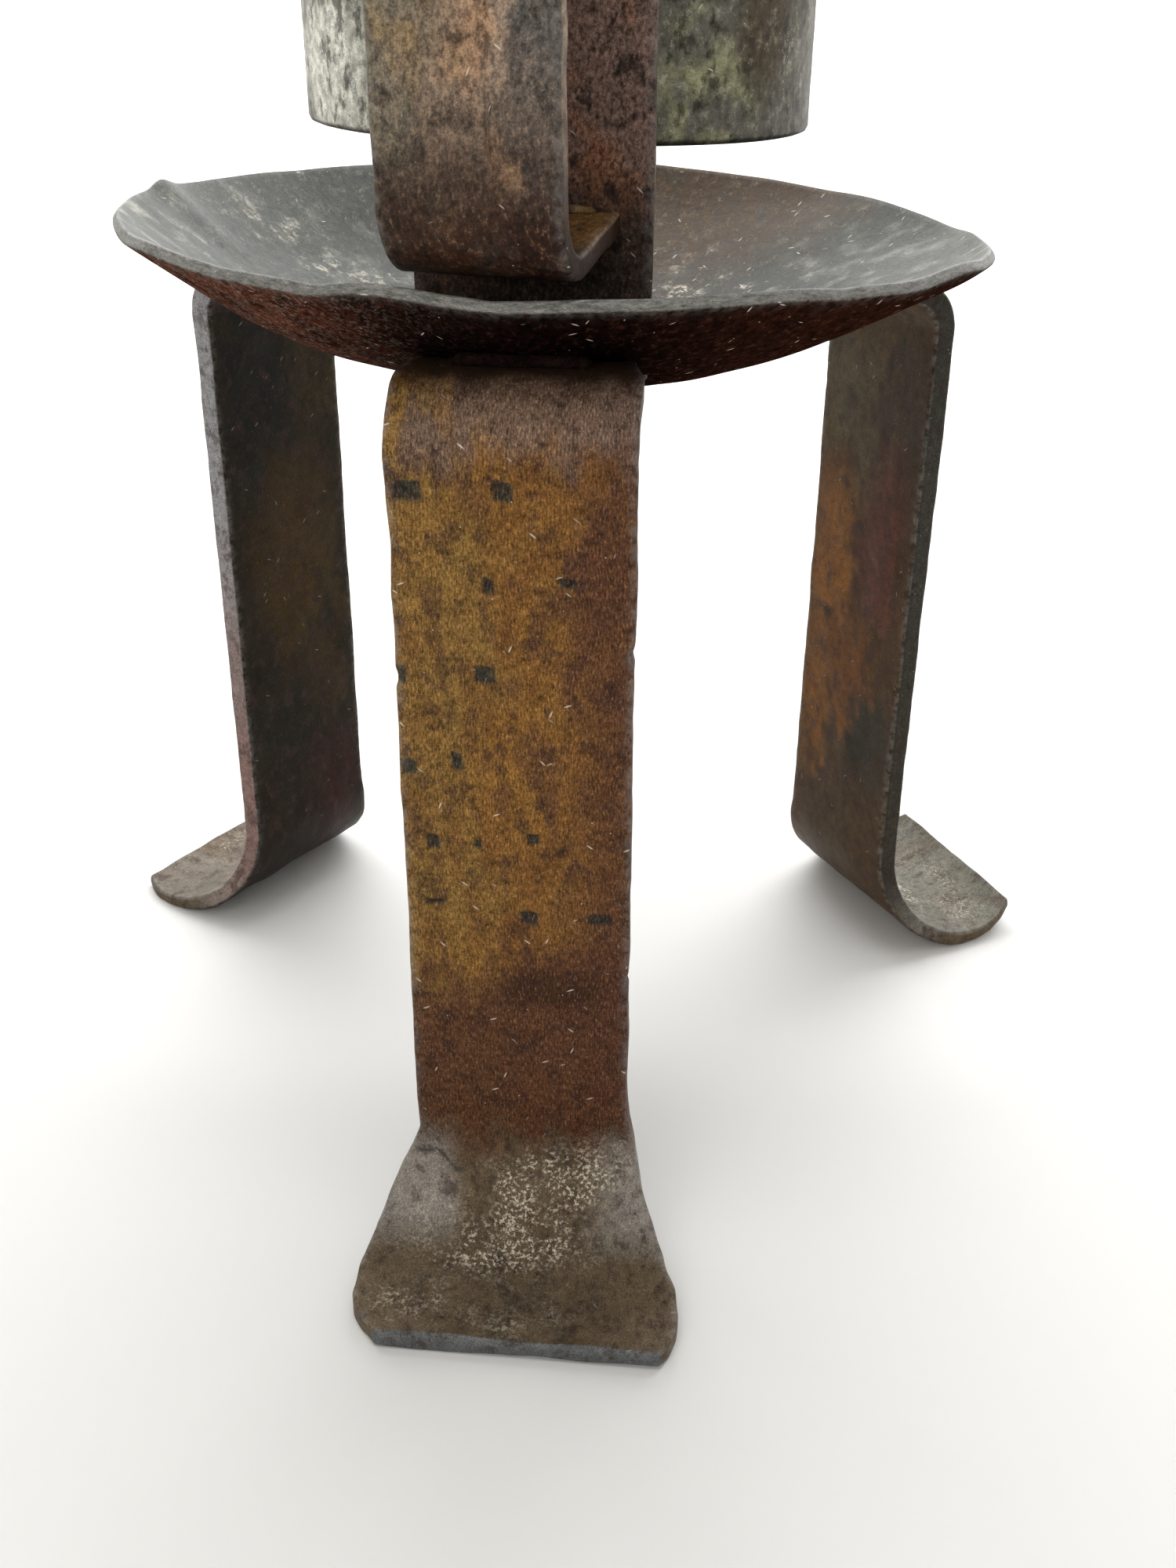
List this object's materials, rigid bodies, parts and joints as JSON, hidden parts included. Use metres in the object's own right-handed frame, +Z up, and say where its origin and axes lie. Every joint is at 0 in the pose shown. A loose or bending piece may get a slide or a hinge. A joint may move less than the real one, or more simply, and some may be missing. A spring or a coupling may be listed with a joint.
{
  "type": "candle stand",
  "caption": "Forged flat-bar candle stand: splayed hammered feet carry a drip dish, and a strap upright holds a wide round candle cup and a D-shaped carrying handle.",
  "frame": {"origin": "on the floor, under the middle of the stand's bounding box", "axes": "+Z up along the cup, -Y to the front, where the handle and the front leg are"},
  "size_m": [0.2334, 0.2124, 0.299],
  "materials": {
    "leg_iron": "hand-forged, heat-tinted brown and waxed",
    "dish_iron": "hammered, dark grey-brown",
    "strap_iron": "hand-forged, dark maroon-brown",
    "handle_iron": "hand-forged, brown-grey and waxed",
    "cup_iron": "mottled silver-grey mill scale",
    "spike_iron": "forged, dark",
    "weld_iron": "dark weld metal",
    "braze": "dull brazing metal"
  },
  "bodies": {
    "root": {"drip_dish": "dish_iron", "front_leg": "leg_iron", "right_leg": "leg_iron", "left_leg": "leg_iron", "upright_strap": "strap_iron", "carrying_handle": "handle_iron", "candle_cup": "cup_iron", "cup_floor": "cup_iron", "candle_spike": "spike_iron", "floor_weld_bead": "weld_iron", "leg_weld_beads": "weld_iron", "upright_weld_beads": "weld_iron", "cup_weld_beads": "weld_iron", "handle_braze_beads": "braze"}
  },
  "joints": []
}
